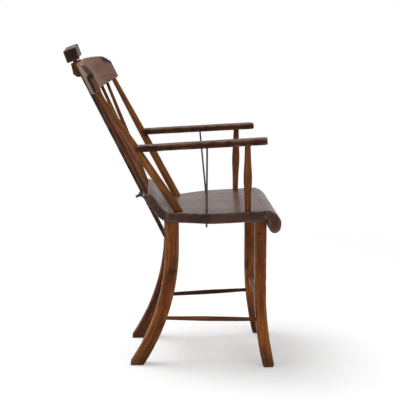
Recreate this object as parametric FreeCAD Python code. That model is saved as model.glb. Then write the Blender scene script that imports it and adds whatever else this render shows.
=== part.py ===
import FreeCAD, Part
import math
import os

from FreeCAD import Placement, Rotation, Vector

# Lengths are millimetres. The chair faces -Y, +Z is up, and -X is its sitter's right.

# Seat
seat_height = 439.0
seat_slope = 0.0474
plank_thickness = 28.0
plank_front = -248.5
plank_rear = 7.0
front_half_width = 215.0
rear_half_width = 152.0
bend_from_front = 143.0
bend_radius = 45.0
bend_ease = 2.0
joint_slant = 7.1
roll_reach = 43.5
roll_drop = 61.0
scroll_rise = 51.0
scroll_reach = 70.5
lip_round = (1.5, 2.5)
arc_tolerance = 0.15

# Legs
leg_width = 35.0
front_leg_x = 172.0
front_leg_y = -239.5
front_leg_depth = 31.0
front_foot_depth = 31.0
front_leg_knee = 218.0
front_leg_radius = 950.0
rear_leg_x = 137.0
rear_leg_y = -1.0
rear_leg_depth = 38.0
rear_foot_depth = 34.0
rear_leg_knee = 330.0
rear_leg_radius = 593.0
leg_chamfer = 3.5
heel_chamfer = 4.0
leg_tenon_radius = 10.0
leg_tenon_root = 6.0

# Stretchers
side_stretcher_height = 130.5
side_stretcher_end_radius = 5.0
side_stretcher_mid_radius = 6.8
side_stretcher_fall = 3.0
cross_rod_height = 172.0
cross_rod_radius = 7.0

# Back
back_rake = 26.5
back_twist = 3.23
crest_height_above_seat = 324.0
crest_thickness = 17.5
crest_half_length = 265.0
crest_crown = 94.0
crest_sag = 36.0
crest_corner = 8.0
crest_trim = 4.0
post_foot_x = 142.0
post_foot_y = -19.5
post_top_x = 243.0
post_foot_radius = 11.5
post_arm_radius = 10.8
post_top_radius = 6.8
arm_along_post = 217.5
shaved_flats = 12
shaved_steps = 4
spindle_count = 6
spindle_foot_radius = 5.5
spindle_mid_radius = 6.2
spindle_top_radius = 4.6
spindle_foot_spacing = 44.0
spindle_top_spacing = 69.4
spindle_foot_setback = 10.0
spindle_foot_drop = 3.0

# Arms
arm_front_x = 225.0
arm_front_y = -252.5
arm_front_rise = 188.0
arm_thickness = 16.5
arm_front_width = 52.0
arm_rear_width = 44.0
arm_corner = 13.0
arm_tenon_radius = 6.0
arm_spindle_y = (-199.5, -202.0)
arm_spindle_foot_x = 197.0
arm_spindle_foot_y = (-203.5, -197.5)
arm_spindle_radii = (8.0, 9.4, 11.5, 9.2, 7.5)
arm_spindle_outset = 4.0
arm_socket_share = 0.6
rod_radius = 2.5
rod_arm_y = (-94.0, -91.0)
rod_seat_x = 192.0
rod_seat_y = (-93.5, -108.0)
rod_outset = 2.0
rod_projection = 12.0
nut_side = 11.0
nut_height = 4.5
washer_radius = 8.5
washer_height = 1.5

# Headrest
bar_width = 40.0
bar_thickness = 9.5
bar_gap_behind_crest = 2.4
bar_below_crest = 500.0
bar_lead = 17.7391
slide_gap = 0.4
block_length = 150.0
block_depth = 36.0
block_height = 34.0
block_tilt = -7.0
block_forward = 3.5
block_roll = 3.25
block_ease = 2.5
block_dish_radius = 620.0
block_dish_depth = 3.0
bar_edge_round = 1.5
block_lift = 26.5
keeper_width = 78.0
keeper_height = 44.0
keeper_over = 4.0
keeper_rise = 11.5
keeper_lap = 8.0
keeper_screw = (4.5, 2.2, 38.0)
keeper_screw_rise = 15.0
clamp_below_lip = 18.4613
clamp_height = 16.0
clamp_iron = 2.5
clamp_ear = 17.0
clamp_let_in = 1.5
clamp_boss = (7.0, 4.0)
clamp_screw = (4.0, 1.8, 9.0)
clamp_screw_rise = 1.0
screw_head_height = 2.4
thumb_shank_radius = 3.0
thumb_gap = 0.05
thumb_reach = 12.0
thumb_neck = (4.5, 2.5)
wing_thickness = 5.0

# Fits and edges
edge_ease = 1.8
socket_depth = 15.0
spindle_socket_depth = 12.0
saddle_fit = 0.4
socket_fit = 0.1
seat_lift = 0.05
past = 60.0

# Outlines, as shares of the sizes above
roll_outline = (
    (0, 0),
    (0.391, 0.023),
    (0.713, 0.172),
    (0.943, 0.377),
    (1, 0.623),
    (0.885, 0.893),
    (0.598, 1),
    (0.333, 0.918),
    (0.253, 0.787),
)
scroll_back = ((0.298, -0.373), (0.546, -0.02), (0.759, 0.412), (1, 0.804))
scroll_face = ((0.73, 1), (0.546, 0.784), (0.333, 0.353), (0.149, 0.098), (0, 0))
crest_shoulder = ((0.74, 0.85), (0.89, 0.71), (0.96, 0.58), (0.99, 0.5), (1, 0.4))
keeper_outline = ((0.61, 0.075), (1, 0.35), (0.83, 0.65), (0.57, 0.975))
wing_outline = ((0.33, 0.125), (0.92, 0.375), (1, 0.833), (0.54, 1), (0, 0.625))

x_axis = Vector(1, 0, 0)
y_axis = Vector(0, 1, 0)
z_axis = Vector(0, 0, 1)
pieces = {}


def seat_top(y):
    return seat_height - seat_slope * (y - plank_front)


def seat_under(y):
    return seat_top(y) - plank_thickness


def scroll_point(reach, rise):
    """A point of the scroll's outline, from the seat's top edge at the joint."""
    return Vector(
        0, plank_rear + reach * scroll_reach, seat_top(plank_rear) + rise * scroll_rise
    )


def smooth(points):
    """Tangent arcs that follow a smooth curve through the points."""
    curve = Part.BSplineCurve()
    curve.interpolate(points)
    return [arc.toShape() for arc in curve.toBiArcs(arc_tolerance)]


def polygon(points):
    return Part.makePolygon(list(points) + [points[0]])


def prism(edges, along):
    return Part.Face(Part.Wire(edges)).extrude(along)


def box_between(low, high):
    size = high - low
    return Part.makeBox(size.x, size.y, size.z, low)


def rod(start, end, radius):
    return Part.makeCylinder(radius, (end - start).Length, start, end - start)


def shaved(start, end, radii):
    """A round piece worked to flats; its radius follows pairs of distance and radius."""
    curve = Part.BSplineCurve()
    curve.interpolate([Vector(radius, 0, along) for along, radius in radii])
    span = curve.LastParameter - curve.FirstParameter
    rings = []
    for step in range(shaved_steps + 1):
        point = curve.value(curve.FirstParameter + span * step / shaved_steps)
        corners = []
        for flat in range(shaved_flats):
            angle = 2 * math.pi * flat / shaved_flats
            corners.append(
                Vector(point.x * math.cos(angle), point.x * math.sin(angle), point.z)
            )
        rings.append(polygon(corners))
    solid = Part.makeLoft(rings, True, True)
    solid.Placement = Placement(start, Rotation(z_axis, end - start))
    return solid


def with_tenons(piece, start, end, start_radius, end_radius, depth):
    """Straight round tenons on both ends of a shaved piece."""
    along = (end - start).normalize()
    low = rod(start - along * depth, start, start_radius)
    high = rod(end, end + along * depth, end_radius)
    return piece.multiFuse([low, high])


def socket(host, mouth, inward, radius, depth=socket_depth):
    """A round hole that takes a tenon of this radius; it starts above the mouth."""
    inward = Vector(inward).normalize()
    start = mouth - inward * (radius * 2)
    return host.cut(rod(start, mouth + inward * (depth + socket_fit), radius + socket_fit))


# The plane of the headrest bar and the crest rail: x across, y to the rear, z up the rake.
rake = math.radians(back_rake)
rake_up = Vector(0, math.sin(rake), math.cos(rake))
rake_rear = Vector(0, math.cos(rake), -math.sin(rake))
crest_foot = Vector(0, 0, seat_top(post_foot_y) + crest_height_above_seat)
scroll_lip = scroll_point(1, 1)
crest_foot.y = scroll_lip.y - bar_lead + (crest_foot.z - scroll_lip.z) * math.tan(rake)
bar_frame = Placement(crest_foot, Rotation(x_axis, rake_rear, rake_up, "ZXY"))
crest_frame = bar_frame.multiply(
    Placement(Vector(0, crest_thickness / 2, 0), Rotation(z_axis, -back_twist))
)
clamp_middle = bar_frame.inverse().multVec(scroll_lip).z - clamp_below_lip
bend = (crest_half_length**2 + crest_sag**2) / (2 * crest_sag)


def in_bar_frame(shape):
    shape.Placement = bar_frame.multiply(shape.Placement)
    return shape


def crest_underside(across):
    """The point of the crest's lower edge, at half its thickness, this far from its middle."""
    return crest_frame.multVec(Vector(across, math.sqrt(bend**2 - across**2) - bend, 0))


def make_plank():
    front = plank_front - roll_reach
    corner = plank_front + bend_from_front
    taper = (front_half_width - rear_half_width) / (plank_rear - corner)
    back_x = rear_half_width
    near_bend = corner - bend_radius / 2
    far_bend = corner + bend_radius / 2
    far_x = front_half_width - bend_ease - taper * bend_radius / 2
    plan = [
        Part.makeLine(Vector(-front_half_width, front, 0), Vector(front_half_width, front, 0)),
        Part.makeLine(Vector(front_half_width, front, 0), Vector(front_half_width, near_bend, 0)),
    ]
    mid_x = (2 * front_half_width + far_x) / 3
    plan.append(
        Part.Arc(
            Vector(front_half_width, near_bend, 0),
            Vector(mid_x, corner + bend_radius / 12, 0),
            Vector(far_x, far_bend, 0),
        ).toShape()
    )
    plan.append(Part.makeLine(Vector(far_x, far_bend, 0), Vector(back_x, plank_rear, 0)))
    plan.append(Part.makeLine(Vector(back_x, plank_rear, 0), Vector(-back_x, plank_rear, 0)))
    plan.append(Part.makeLine(Vector(-back_x, plank_rear, 0), Vector(-far_x, far_bend, 0)))
    plan.append(
        Part.Arc(
            Vector(-far_x, far_bend, 0),
            Vector(-mid_x, corner + bend_radius / 12, 0),
            Vector(-front_half_width, near_bend, 0),
        ).toShape()
    )
    plan.append(
        Part.makeLine(Vector(-front_half_width, near_bend, 0), Vector(-front_half_width, front, 0))
    )
    column = prism(plan, Vector(0, 0, seat_height * 2))
    slant_front = plank_front - joint_slant
    side = polygon(
        [
            Vector(-front_half_width, plank_front, seat_top(plank_front)),
            Vector(-front_half_width, plank_rear, seat_top(plank_rear)),
            Vector(-front_half_width, plank_rear, seat_under(plank_rear)),
            Vector(-front_half_width, slant_front, seat_under(slant_front)),
        ]
    )
    return column.common(Part.Face(side).extrude(Vector(2 * front_half_width, 0, 0)))


def make_front_roll():
    slant_front = plank_front - joint_slant
    top = seat_top(plank_front)
    points = [
        Vector(0, plank_front - reach * roll_reach, top - drop * roll_drop)
        for reach, drop in roll_outline
    ]
    joint_low = Vector(0, slant_front, seat_under(slant_front))
    edges = smooth(points)
    edges += [Part.makeLine(points[-1], joint_low), Part.makeLine(joint_low, points[0])]
    roll = prism(edges, Vector(2 * front_half_width, 0, 0))
    roll.translate(Vector(-front_half_width, 0, 0))
    return roll


def make_rear_scroll():
    low = Vector(0, plank_rear, seat_under(plank_rear))
    outer = [low] + [scroll_point(reach, rise) for reach, rise in scroll_back]
    inner = [scroll_point(reach, rise) for reach, rise in scroll_face]
    over = Vector(0, lip_round[0], lip_round[1])
    lip = Part.Arc(outer[-1], (outer[-1] + inner[0]) / 2 + over, inner[0]).toShape()
    edges = smooth(outer) + [lip] + smooth(inner) + [Part.makeLine(inner[-1], low)]
    scroll = prism(edges, Vector(2 * rear_half_width, 0, 0))
    scroll.translate(Vector(-rear_half_width, 0, 0))
    return scroll


def leg_y_at(height, y, knee, radius, lean, offset):
    """Where a leg's face at this offset from its middle line stands at this height."""
    face_radius = radius - lean * offset
    return y + lean * radius - lean * math.sqrt(face_radius**2 - (knee - height) ** 2)


def make_leg(x, y, depth, foot_depth, knee, radius, lean):
    """A square leg, upright to the knee, then curving away and tapering to the foot."""
    middle_depth = (depth + foot_depth) / 2
    faces = []
    for side in (-1, 1):
        face_y = y + side * depth / 2
        mid_y = leg_y_at(knee / 2, y, knee, radius, lean, side * middle_depth / 2)
        foot_y = leg_y_at(0, y, knee, radius, lean, side * foot_depth / 2)
        faces.append((face_y, mid_y, foot_y))
    front, rear = faces
    edges = [
        Part.makeLine(Vector(0, front[0], seat_under(front[0])), Vector(0, front[0], knee)),
        Part.Arc(
            Vector(0, front[0], knee), Vector(0, front[1], knee / 2), Vector(0, front[2], 0)
        ).toShape(),
        Part.makeLine(Vector(0, front[2], 0), Vector(0, rear[2], 0)),
        Part.Arc(
            Vector(0, rear[2], 0), Vector(0, rear[1], knee / 2), Vector(0, rear[0], knee)
        ).toShape(),
        Part.makeLine(Vector(0, rear[0], knee), Vector(0, rear[0], seat_under(rear[0]))),
        Part.makeLine(
            Vector(0, rear[0], seat_under(rear[0])), Vector(0, front[0], seat_under(front[0]))
        ),
    ]
    leg = prism(edges, Vector(leg_width, 0, 0))
    leg.translate(Vector(x - leg_width / 2, 0, 0))
    long_edges = [
        edge
        for edge in leg.Edges
        if edge.Length > 2 * depth and edge.BoundBox.XLength < 0.01
    ]
    leg = leg.makeChamfer(leg_chamfer, long_edges)
    tip_y = rear[2] if lean > 0 else front[2]
    heel = [
        edge
        for edge in leg.Edges
        if edge.BoundBox.ZMax < 0.01 and abs(edge.CenterOfMass.y - tip_y) < 0.01
    ]
    leg = leg.makeChamfer(heel_chamfer, heel)
    tenon = Part.makeCylinder(
        leg_tenon_radius,
        socket_depth + leg_tenon_root,
        Vector(x, y, seat_under(y) - leg_tenon_root),
        z_axis,
    )
    return leg.fuse(tenon).removeSplitter()


def add_seat():
    pieces["seat_plank"] = make_plank()
    pieces["seat_front_roll"] = make_front_roll()
    pieces["seat_rear_scroll"] = make_rear_scroll()


def add_legs():
    for side, name in ((-1, "right"), (1, "left")):
        pieces["leg_front_" + name] = make_leg(
            side * front_leg_x,
            front_leg_y,
            front_leg_depth,
            front_foot_depth,
            front_leg_knee,
            front_leg_radius,
            -1,
        )
        pieces["leg_rear_" + name] = make_leg(
            side * rear_leg_x,
            rear_leg_y,
            rear_leg_depth,
            rear_foot_depth,
            rear_leg_knee,
            rear_leg_radius,
            1,
        )
        rear_leg = "leg_rear_" + name
        pieces[rear_leg] = pieces[rear_leg].cut(pieces["seat_rear_scroll"])
        for x, y in ((side * front_leg_x, front_leg_y), (side * rear_leg_x, rear_leg_y)):
            mouth = Vector(x, y, seat_under(y))
            pieces["seat_plank"] = socket(
                pieces["seat_plank"], mouth, z_axis, leg_tenon_radius
            )


def add_stretchers():
    height = side_stretcher_height
    for side, name in ((-1, "right"), (1, "left")):
        front_y = leg_y_at(
            height, front_leg_y, front_leg_knee, front_leg_radius, -1, front_leg_depth / 2
        )
        rear_y = leg_y_at(
            height, rear_leg_y, rear_leg_knee, rear_leg_radius, 1, -rear_leg_depth / 2
        )
        start = Vector(side * front_leg_x, front_y, height + side_stretcher_fall / 2)
        end = Vector(side * rear_leg_x, rear_y, height - side_stretcher_fall / 2)
        length = (end - start).Length
        radius = side_stretcher_end_radius
        radii = [(0, radius), (length / 2, side_stretcher_mid_radius), (length, radius)]
        bar = shaved(start, end, radii)
        bar = with_tenons(bar, start, end, radius, radius, socket_depth)
        pieces["stretcher_" + name] = bar
        front_leg = "leg_front_" + name
        rear_leg = "leg_rear_" + name
        pieces[front_leg] = socket(pieces[front_leg], start, start - end, radius)
        pieces[rear_leg] = socket(pieces[rear_leg], end, end - start, radius)
    for end_name, leg_x, y, knee, bow, lean in (
        ("front", front_leg_x, front_leg_y, front_leg_knee, front_leg_radius, -1),
        ("rear", rear_leg_x, rear_leg_y, rear_leg_knee, rear_leg_radius, 1),
    ):
        rod_y = leg_y_at(cross_rod_height, y, knee, bow, lean, 0)
        mouth = leg_x - leg_width / 2
        reach = mouth + socket_depth
        left = Vector(reach, rod_y, cross_rod_height)
        right = Vector(-reach, rod_y, cross_rod_height)
        pieces["stretcher_" + end_name] = rod(right, left, cross_rod_radius)
        for side, name in ((-1, "right"), (1, "left")):
            leg = "leg_" + end_name + "_" + name
            point = Vector(side * mouth, rod_y, cross_rod_height)
            pieces[leg] = socket(pieces[leg], point, x_axis * side, cross_rod_radius)


def make_crest():
    half = crest_half_length + crest_trim
    corner = crest_corner
    turn = corner * (1 - math.sqrt(0.5))
    edges = [Part.makeLine(Vector(corner - half, 0, 0), Vector(half - corner, 0, 0))]
    for side in (-1, 1):
        end = side * half
        brow, shoulder, cheek, jaw, low = [
            Vector(across * end, 0, up * crest_crown) for across, up in crest_shoulder
        ]
        edges += [
            Part.Arc(brow, shoulder, cheek).toShape(),
            Part.Arc(cheek, jaw, low).toShape(),
            Part.makeLine(low, Vector(end, 0, corner)),
            Part.Arc(
                Vector(end, 0, corner),
                Vector(end - side * turn, 0, turn),
                Vector(end - side * corner, 0, 0),
            ).toShape(),
        ]
    mirrored = Vector(-brow.x, 0, brow.z)
    edges.append(Part.Arc(mirrored, Vector(0, 0, crest_crown), brow).toShape())
    outline = prism(Part.sortEdges(edges)[0], Vector(0, 2 * bend, 0))
    outline.translate(Vector(0, -bend, 0))
    spread = math.degrees(math.asin(crest_half_length / bend))
    centre = Vector(0, -bend, -1)
    tall = crest_crown + 2
    outer = Part.makeCylinder(bend + crest_thickness / 2, tall, centre, z_axis, 2 * spread)
    inner = Part.makeCylinder(bend - crest_thickness / 2, tall, centre, z_axis, 2 * spread)
    board = outer.cut(inner)
    board.rotate(centre, z_axis, 90 - spread)
    crest = board.common(outline)
    long_edges = [edge for edge in crest.Edges if edge.Length > crest_crown]
    crest = crest.makeChamfer(edge_ease, long_edges)
    crest.Placement = crest_frame.multiply(crest.Placement)
    return crest


def post_ends(side):
    foot = Vector(side * post_foot_x, post_foot_y, seat_top(post_foot_y))
    return foot, crest_underside(side * post_top_x)


def add_back():
    crest = make_crest()
    for side, name in ((-1, "right"), (1, "left")):
        foot, top = post_ends(side)
        length = (top - foot).Length
        radii = [
            (0, post_foot_radius),
            (arm_along_post * 0.45, post_foot_radius),
            (arm_along_post, post_arm_radius),
            (length * 0.8, (post_arm_radius + post_top_radius) / 2),
            (length, post_top_radius),
        ]
        post = shaved(foot, top, radii)
        post = with_tenons(post, foot, top, post_foot_radius, post_top_radius, socket_depth)
        pieces["back_post_" + name] = post
        pieces["seat_plank"] = socket(pieces["seat_plank"], foot, foot - top, post_foot_radius)
        crest = socket(crest, top, top - foot, post_top_radius)
    lip = scroll_lip - Vector(0, spindle_foot_setback, spindle_foot_drop)
    for number in range(spindle_count):
        place = number - (spindle_count - 1) / 2
        foot = lip + x_axis * (place * spindle_foot_spacing)
        top = crest_underside(place * spindle_top_spacing)
        length = (top - foot).Length
        radii = [
            (0, spindle_foot_radius),
            (length * 0.45, spindle_mid_radius),
            (length, spindle_top_radius),
        ]
        spindle = shaved(foot, top, radii)
        spindle = with_tenons(
            spindle, foot, top, spindle_foot_radius, spindle_top_radius, spindle_socket_depth
        )
        pieces["back_spindle_" + str(number + 1)] = spindle
        pieces["seat_rear_scroll"] = socket(
            pieces["seat_rear_scroll"],
            foot,
            foot - top,
            spindle_foot_radius,
            spindle_socket_depth,
        )
        crest = socket(crest, top, top - foot, spindle_top_radius, spindle_socket_depth)
    pieces["crest_rail"] = crest


def arm_axis(side):
    """The middle of the arm at the post and at its front end."""
    foot, top = post_ends(side)
    rear = foot + (top - foot).normalize() * arm_along_post
    front = Vector(side * arm_front_x, arm_front_y, seat_height + arm_front_rise)
    return rear, front


def make_arm(side):
    rear, front = arm_axis(side)
    along = (front - rear).normalize()
    across = z_axis.cross(along).normalize()
    up = along.cross(across)
    frame = Placement(rear, Rotation(along, across, up, "XZY"))
    length = (front - rear).Length
    wide = arm_front_width / 2
    narrow = arm_rear_width / 2
    corner = arm_corner
    turn = corner * (1 - math.sqrt(0.5))
    edges = [
        Part.makeLine(Vector(0, -narrow, 0), Vector(length - corner, -wide, 0)),
        Part.Arc(
            Vector(length - corner, -wide, 0),
            Vector(length - turn, turn - wide, 0),
            Vector(length, corner - wide, 0),
        ).toShape(),
        Part.makeLine(Vector(length, corner - wide, 0), Vector(length, wide - corner, 0)),
        Part.Arc(
            Vector(length, wide - corner, 0),
            Vector(length - turn, wide - turn, 0),
            Vector(length - corner, wide, 0),
        ).toShape(),
        Part.makeLine(Vector(length - corner, wide, 0), Vector(0, narrow, 0)),
        Part.makeLine(Vector(0, narrow, 0), Vector(0, -narrow, 0)),
    ]
    arm = prism(edges, Vector(0, 0, arm_thickness))
    arm.translate(Vector(0, 0, -arm_thickness / 2))
    flat = [
        edge
        for edge in arm.Edges
        if edge.BoundBox.ZLength < 0.01 and edge.BoundBox.XMax > 1
    ]
    arm = arm.makeChamfer(edge_ease, flat)
    arm.Placement = frame
    return arm, rear, along


def add_arms():
    for side, name in ((-1, "right"), (1, "left")):
        arm, rear, along = make_arm(side)
        post_name = "back_post_" + name
        foot, top = post_ends(side)
        up_post = (top - foot).normalize()
        saddle = rod(
            rear - up_post * past, rear + up_post * past, post_arm_radius + saddle_fit
        )
        behind = rod(rear - along * past, rear, arm_rear_width)
        arm = arm.cut(saddle).cut(behind)
        arm = max(arm.Solids, key=lambda solid: solid.Volume)
        grip = arm_tenon_radius
        tenon = rod(rear + along, rear + along * (post_arm_radius + socket_depth), grip)
        pieces[post_name] = pieces[post_name].cut(
            rod(rear + along * (1 - socket_fit), rear + along * past, grip + socket_fit)
        )
        arm = arm.fuse(tenon).removeSplitter()

        spindle_y = arm_spindle_y[side > 0]
        spindle_top = Vector(side * (arm_front_x + arm_spindle_outset), spindle_y, 0)
        share = (spindle_y - rear.y) / along.y
        spindle_top.z = rear.z + along.z * share - arm_thickness / 2
        spindle_foot = Vector(side * arm_spindle_foot_x, arm_spindle_foot_y[side > 0], 0)
        spindle_foot.z = seat_top(spindle_foot.y)
        length = (spindle_top - spindle_foot).Length
        radii = [
            (length * part, radius)
            for part, radius in zip((0, 0.25, 0.5, 0.78, 1), arm_spindle_radii)
        ]
        spindle = shaved(spindle_foot, spindle_top, radii)
        blind = arm_thickness * arm_socket_share
        spindle = with_tenons(
            spindle, spindle_foot, spindle_top, arm_spindle_radii[0], arm_spindle_radii[-1], blind
        )
        pieces["arm_spindle_" + name] = spindle
        up = spindle_top - spindle_foot
        arm = socket(arm, spindle_top, up, arm_spindle_radii[-1], blind)
        pieces["seat_plank"] = socket(
            pieces["seat_plank"], spindle_foot, -up, arm_spindle_radii[0], blind
        )

        share = (rod_arm_y[side > 0] - rear.y) / along.y
        rod_top = rear + along * share
        rod_top.x = rod_top.x + side * rod_outset
        seat_y = rod_seat_y[side > 0]
        rod_seat = Vector(side * rod_seat_x, seat_y, seat_top(seat_y))
        down = (rod_seat - rod_top).normalize()
        high = rod_top - down * (arm_thickness / 2 - 1)
        under = rod_seat + down * plank_thickness
        pieces["arm_rod_" + name] = rod(high, under + down * rod_projection, rod_radius)
        hole = rod(rod_top - down * past, under + down * past, rod_radius + socket_fit)
        sunk = washer_height + nut_height
        seat_mark = under - down * sunk
        recess = rod(seat_mark, under + down * past, washer_radius + saddle_fit)
        arm = arm.cut(hole)
        pieces["seat_plank"] = pieces["seat_plank"].cut(hole).cut(recess)
        washer = rod(seat_mark, seat_mark + down * washer_height, washer_radius).cut(hole)
        half = nut_side / 2
        nut = Part.makeBox(nut_side, nut_side, nut_height, Vector(-half, -half, 0))
        nut.Placement = Placement(seat_mark + down * washer_height, Rotation(z_axis, down))
        nut = nut.cut(hole)
        pieces.setdefault("rod_washers", []).append(washer)
        pieces.setdefault("rod_nuts", []).append(nut)
        pieces["arm_" + name] = arm


def make_block():
    """The headrest block, dished along its front, on its own tilt and roll."""
    low = Vector(-block_length / 2, -block_depth / 2, -block_height / 2)
    block = Part.makeBox(block_length, block_depth, block_height, low)
    block = block.makeChamfer(block_ease, block.Edges)
    dish = Part.makeCylinder(
        block_dish_radius,
        block_height * 2,
        Vector(0, block_dish_depth - block_depth / 2 - block_dish_radius, -block_height),
        z_axis,
    )
    return block.cut(dish)


def bar_box(low_x, high_x, low_y, high_y, low_z, high_z):
    return in_bar_frame(
        box_between(Vector(low_x, low_y, low_z), Vector(high_x, high_y, high_z))
    )


def add_headrest():
    front = crest_thickness + bar_gap_behind_crest
    rear = front + bar_thickness
    half = bar_width / 2
    middle = front + bar_thickness / 2
    bar_top = crest_crown + block_lift
    bar = bar_box(-half, half, front, rear, -bar_below_crest, bar_top)
    long_edges = [edge for edge in bar.Edges if edge.Length > bar_below_crest]
    bar = bar.makeFillet(bar_edge_round, long_edges)
    block = make_block()
    lean = Rotation(y_axis, -block_roll).multiply(Rotation(x_axis, -block_tilt))
    seat = Placement(Vector(0, middle - block_forward, bar_top), lean)
    block.Placement = bar_frame.multiply(seat)
    mortise = bar_box(
        -half - socket_fit,
        half + socket_fit,
        front - socket_fit,
        rear + socket_fit,
        0,
        bar_top + socket_fit,
    )
    pieces["headrest_block"] = block.cut(mortise)
    pieces["headrest_bar"] = bar

    gap = slide_gap
    outer = rear + gap + keeper_rise
    half_keeper = keeper_width / 2
    low = crest_crown + keeper_over - keeper_height
    lap = front - keeper_lap
    points = [Vector(0, lap, low), Vector(0, rear, low)]
    for out, up in keeper_outline:
        points.append(Vector(0, rear + out * (outer - rear), low + up * keeper_height))
    crown = Vector(0, lap, points[-1].z)
    profile = smooth(points) + [Part.makeLine(points[-1], crown), Part.makeLine(crown, points[0])]
    keeper = prism(profile, Vector(keeper_width, 0, 0))
    keeper.translate(Vector(-half_keeper, 0, 0))
    keeper = in_bar_frame(keeper)
    slot = bar_box(-half - gap, half + gap, 0, rear + gap, low - past, crest_crown + past)
    keeper = keeper.cut(slot).cut(pieces["crest_rail"])
    keeper = max(keeper.Solids, key=lambda solid: solid.Volume)
    screw_x = (half + half_keeper) / 2
    screw_z = low + keeper_screw_rise
    for side in (-1, 1):
        head = bar_frame.multVec(Vector(side * screw_x, outer, screw_z))
        inward = -rake_rear
        hole = add_screw("keeper_screws", head, inward, keeper_screw)
        keeper = keeper.cut(hole)
        pieces["crest_rail"] = pieces["crest_rail"].cut(hole)
    pieces["bar_keeper"] = keeper
    add_clamp(front, rear, half)


def add_screw(node, head, inward, size):
    """A flat-headed screw whose head stands on the point given; returns its hole."""
    head_radius, shank_radius, length = size
    cap = Part.makeCylinder(head_radius, screw_head_height, Vector(0, 0, seat_lift))
    shank = Part.makeCylinder(shank_radius, length + 2 * seat_lift, Vector(0, 0, -length))
    screw = cap.fuse(shank)
    screw.Placement = Placement(head, Rotation(z_axis, -inward))
    pieces.setdefault(node, []).append(screw)
    deep = length + 2 * socket_fit
    return rod(head - inward * past, head + inward * deep, shank_radius + socket_fit)


def add_clamp(front, rear, half):
    gap = slide_gap
    iron = clamp_iron
    low = clamp_middle - clamp_height / 2
    high = low + clamp_height
    ear_front = front - clamp_let_in
    inner = half + gap
    bridge = rear + gap
    section = [
        Vector(-inner - iron - clamp_ear, ear_front, low),
        Vector(-inner, ear_front, low),
        Vector(-inner, bridge, low),
        Vector(inner, bridge, low),
        Vector(inner, ear_front, low),
        Vector(inner + iron + clamp_ear, ear_front, low),
        Vector(inner + iron + clamp_ear, ear_front + iron, low),
        Vector(inner + iron, ear_front + iron, low),
        Vector(inner + iron, bridge + iron, low),
        Vector(-inner - iron, bridge + iron, low),
        Vector(-inner - iron, ear_front + iron, low),
        Vector(-inner - iron - clamp_ear, ear_front + iron, low),
    ]
    strap = Part.Face(polygon(section)).extrude(Vector(0, 0, clamp_height))
    outside = [
        edge
        for edge in strap.Edges
        if abs(edge.BoundBox.YMax - bridge - iron) < 0.01
        and abs(edge.BoundBox.YMin - bridge - iron) < 0.01
        and edge.Length < clamp_height + 1
        and edge.BoundBox.ZLength > 1
    ]
    strap = strap.makeFillet(iron * 0.9, outside)
    boss_radius, boss_height = clamp_boss
    boss_top = bridge + iron + boss_height
    boss = Part.makeCylinder(
        boss_radius, boss_height + 1, Vector(0, bridge + iron - 1, clamp_middle), y_axis
    )
    strap = strap.fuse(boss).removeSplitter()
    bore = Part.makeCylinder(
        thumb_shank_radius + thumb_gap, past, Vector(0, rear, clamp_middle), y_axis
    )
    strap = strap.cut(bore)
    strap = in_bar_frame(strap)
    reach = inner + iron + clamp_ear + 1
    bed = bar_box(-reach, reach, ear_front, ear_front + past, low - 2, high + past)
    notch = bar_box(-inner, inner, front - gap, front + past, low - past, high + past)
    scroll = pieces["seat_rear_scroll"].cut(bed).cut(notch)
    screw_x = inner + iron + clamp_ear / 2
    for side in (-1, 1):
        screw_z = clamp_middle + clamp_screw_rise
        head = bar_frame.multVec(Vector(side * screw_x, ear_front + iron, screw_z))
        inward = -rake_rear
        hole = add_screw("clamp_screws", head, inward, clamp_screw)
        strap = strap.cut(hole)
        scroll = scroll.cut(hole)
    pieces["clamp_strap"] = strap
    pieces["seat_rear_scroll"] = scroll

    neck_radius, neck_height = thumb_neck
    shank = Part.makeCylinder(
        thumb_shank_radius,
        boss_top + neck_height - rear - gap,
        Vector(0, rear + gap, clamp_middle),
        y_axis,
    )
    neck = Part.makeCylinder(
        neck_radius, neck_height, Vector(0, boss_top + slide_gap, clamp_middle), y_axis
    )
    lobes = [
        Vector(-across * thumb_reach, boss_top + out * thumb_reach, 0)
        for across, out in wing_outline
    ]
    lobes += [Vector(-lobe.x, lobe.y, 0) for lobe in reversed(lobes[:-1])]
    root = Part.makeLine(lobes[-1], lobes[0])
    wing = prism(smooth(lobes) + [root], Vector(0, 0, wing_thickness))
    wing.translate(Vector(0, 0, clamp_middle - wing_thickness / 2))
    screw = shank.multiFuse([neck, wing]).removeSplitter()
    pieces["thumb_screw"] = in_bar_frame(screw)


def write_parts():
    """Stands the chair on the floor about the middle of its box and writes each piece."""
    shapes = {}
    for name, shape in pieces.items():
        shapes[name] = Part.makeCompound(shape) if isinstance(shape, list) else shape
    whole = Part.makeCompound(list(shapes.values())).optimalBoundingBox(False)
    shift = Vector(-whole.Center.x, -whole.Center.y, -whole.ZMin)
    os.makedirs("parts", exist_ok=True)
    for name, shape in shapes.items():
        moved = shape.copy()
        moved.translate(shift)
        moved.exportStep("parts/" + name + ".step")
        solids = len(moved.Solids)
        valid = moved.isValid()
        volume = moved.Volume / 1000
        print(f"{name}: {solids} solids, valid {valid}, {volume:.1f} cm3")
    print("box", whole.XLength, whole.YLength, whole.ZLength, "shift", shift)
    for label, point, direction in (
        ("bar axis", bar_frame.multVec(Vector(0, 0, 0)), rake_up),
        ("thumb screw", thumb_point(), rake_rear),
    ):
        print(label, point + shift, direction)


def thumb_point():
    deep = crest_thickness + bar_gap_behind_crest + bar_thickness
    return bar_frame.multVec(Vector(0, deep, clamp_middle))


add_seat()
add_legs()
add_stretchers()
add_back()
add_arms()
add_headrest()
write_parts()
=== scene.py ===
import math
from functools import partial

import bpy
import numpy as np
from mathutils import Matrix, Vector, noise


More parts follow.
